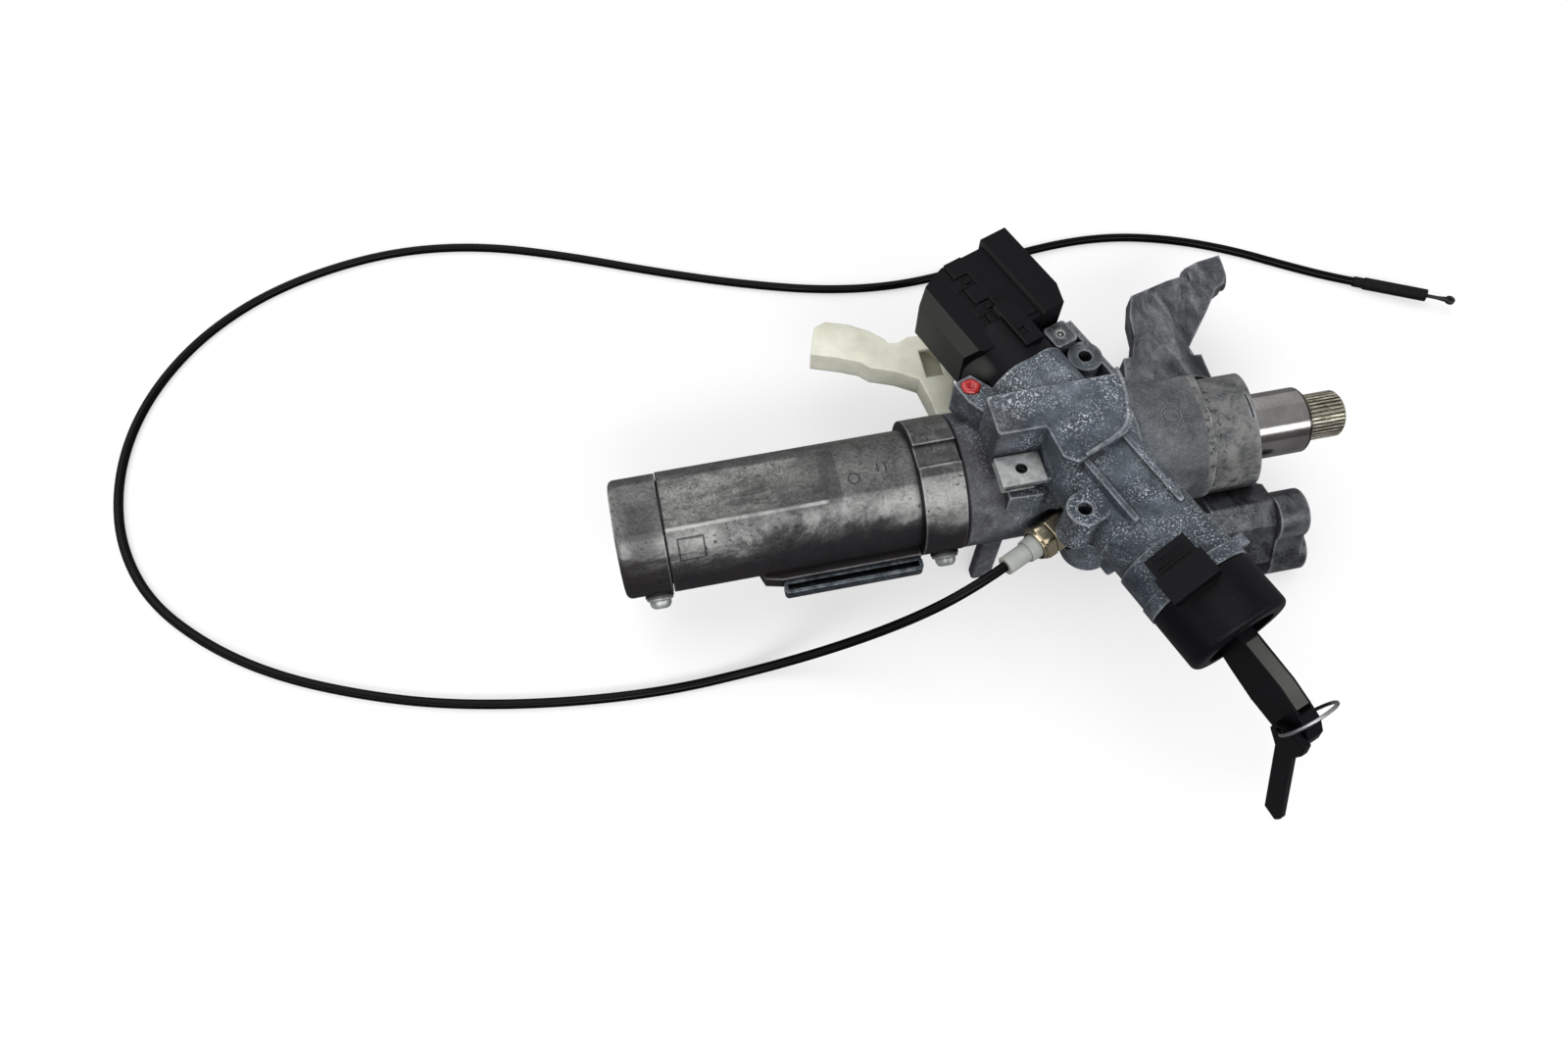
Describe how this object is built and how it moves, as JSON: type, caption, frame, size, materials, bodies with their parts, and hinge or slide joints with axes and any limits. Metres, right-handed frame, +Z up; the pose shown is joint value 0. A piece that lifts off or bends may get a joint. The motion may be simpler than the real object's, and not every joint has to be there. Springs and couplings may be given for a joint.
{
  "type": "steering column lock",
  "caption": "Steering lock casting on a column jacket, with spindle, key lock, electrical ignition switch, harness duct and long interlock cable.",
  "frame": {"origin": "centre of the steering spindle's splined tip, at the mouth of its threaded hole", "axes": "+X along the steering spindle, out of its splined end; +Z up from the bench the assembly lies on; +Y to the switch's side"},
  "size_m": [0.5779, 0.3275, 0.0954],
  "materials": {
    "cast_alloy": "as cast, dull blue grey with white corrosion bloom",
    "jacket_alloy": "cast, dull with dark stains",
    "zinc_steel": "zinc plated",
    "bearing_steel": "ground",
    "spindle_steel": "turned, lightly oiled",
    "cylinder_zinc": "die-cast zinc",
    "yellow_zinc": "yellow passivated",
    "terminal_brass": "plain",
    "coil_copper": "enamelled copper wire",
    "key_nickel": "nickel plated",
    "black_plastic": "fine moulded grain",
    "grey_plastic": "satin",
    "white_plastic": "semi-clear",
    "ivory_plastic": "yellowed, semi-clear",
    "bush_plastic": "low-friction",
    "cable_black": "smooth cover",
    "red_lacquer": "sealing lacquer",
    "glass_chip": "sealed capsule"
  },
  "bodies": {
    "housing": {"lock_housing": "cast_alloy", "column_jacket": "jacket_alloy", "end_ring": "jacket_alloy", "lower_bush": "bush_plastic", "clamp_screws": "zinc_steel", "guide_channel": "zinc_steel", "bearing_outer_race": "bearing_steel", "bearing_circlip": "bearing_steel", "bearing_rollers": "bearing_steel", "clip_nut": "zinc_steel", "switch_case": "black_plastic", "switch_cover": "black_plastic", "switch_screw": "zinc_steel", "sealed_screw": "red_lacquer", "switch_terminals": "terminal_brass", "cylinder_sleeve": "cylinder_zinc", "cylinder_pin": "bearing_steel", "aerial_ring": "black_plastic", "aerial_coil": "coil_copper", "aerial_terminals": "terminal_brass", "harness_duct": "ivory_plastic", "cable_nut": "yellow_zinc", "cable_sleeve": "white_plastic", "interlock_cable": "cable_black", "cable_end_sleeve": "cable_black", "bolt_spring": "bearing_steel"},
    "steering_spindle": {"spindle": "spindle_steel", "lock_ring": "spindle_steel", "bearing_inner_race": "bearing_steel"},
    "plug": {"lock_plug": "cylinder_zinc", "wafers": "terminal_brass", "drive_rod": "cylinder_zinc", "switch_rotor": "white_plastic"},
    "key": {"key_blade": "key_nickel", "key_head": "black_plastic", "key_band": "grey_plastic", "transponder": "glass_chip", "wire_ring": "bearing_steel", "spare_key": "black_plastic"},
    "bolt": {"lock_bolt": "bearing_steel"},
    "wire_end": {"cable_wire_end": "bearing_steel"},
    "pin": {"interlock_pin": "bearing_steel"}
  },
  "joints": [
    {"name": "spindle_spin", "type": "hinge", "parent": "housing", "child": "steering_spindle", "pos_m": [0, 0, 0], "axis": [1, 0, 0], "continuous": true},
    {"name": "key_turn", "type": "hinge", "parent": "housing", "child": "plug", "pos_m": [-0.115, 0, 0.026], "axis": [0.3502, -0.9367, 0], "range_deg": [0, 120]},
    {"name": "key_pull", "type": "slide", "parent": "plug", "child": "key", "axis": [0.3502, -0.9367, 0], "range_m": [0, 0.036]},
    {"name": "bolt_throw", "type": "slide", "parent": "housing", "child": "bolt", "axis": [0, 0, -1], "range_m": [0, 0.003], "deforming": ["bolt_spring"]},
    {"name": "wire_end_slide", "type": "slide", "parent": "housing", "child": "wire_end", "axis": [0.8628, -0.4995, 0.0772], "range_m": [0, 0.008]},
    {"name": "interlock_pin_slide", "type": "slide", "parent": "housing", "child": "pin", "axis": [-0.91, -0.4147, 0], "range_m": [0, 0.008]}
  ],
  "couplings": [
    {"joint": "bolt_throw", "follows": "key_pull", "ratio": 0.0833},
    {"joint": "interlock_pin_slide", "follows": "wire_end_slide", "ratio": 1}
  ]
}
